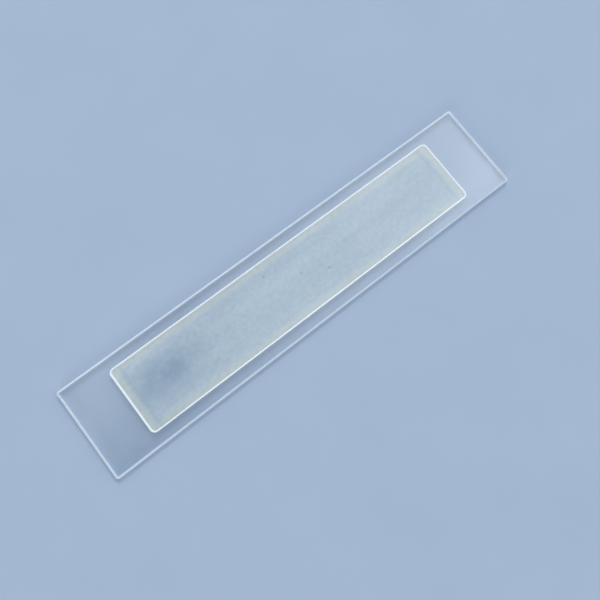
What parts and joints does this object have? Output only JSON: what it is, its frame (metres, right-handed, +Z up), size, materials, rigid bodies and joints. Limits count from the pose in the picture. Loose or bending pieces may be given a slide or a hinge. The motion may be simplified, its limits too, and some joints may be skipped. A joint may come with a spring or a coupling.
{
  "type": "hemocytometer",
  "caption": "Long clear glass counting slide with a shallow frosted well ground into its top face, and a thin cover glass that lifts off.",
  "frame": {"origin": "Middle of the slide's underside.", "axes": "+X along the slide's length, +Y across its width, +Z up out of the well."},
  "size_m": [0.075, 0.015, 0.0012],
  "materials": {
    "slide_glass": "polished, with a fine-ground frosted well and seamed edges",
    "cover_glass": "polished, with clean cut edges"
  },
  "bodies": {
    "slide": {"counting_slide": "slide_glass"},
    "cover": {"cover_glass": "cover_glass"}
  },
  "joints": [
    {"name": "cover_lift", "type": "slide", "parent": "slide", "child": "cover", "axis": [0, 0, 1], "range_m": [0, 0.02]}
  ]
}
